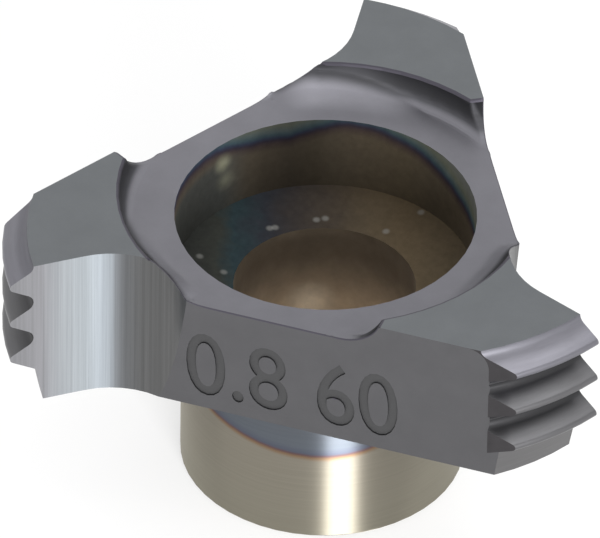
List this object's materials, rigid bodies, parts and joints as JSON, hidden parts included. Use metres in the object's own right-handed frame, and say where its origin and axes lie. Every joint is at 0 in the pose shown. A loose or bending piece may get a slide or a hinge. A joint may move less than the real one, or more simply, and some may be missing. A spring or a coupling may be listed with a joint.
{
  "type": "thread mill insert",
  "caption": "Lobed carbide thread-milling insert with relieved multi-tooth lands, flutes, a dished top, a counterbored screw hole and a plain locating boss.",
  "frame": {"origin": "on the tool axis in the plane of the boss foot", "axes": "+Z along the tool axis from the boss foot to the lobe tops; +X through the first lobe's crest tip; the cutting turn is from +X towards +Y"},
  "size_m": [0.01, 0.0106, 0.0058],
  "materials": {
    "coated_carbide": "dark blue-grey hard coating over ground tungsten carbide; the boss is bare below the coating edge"
  },
  "bodies": {
    "root": {"thread_mill_insert": "coated_carbide"}
  },
  "joints": []
}
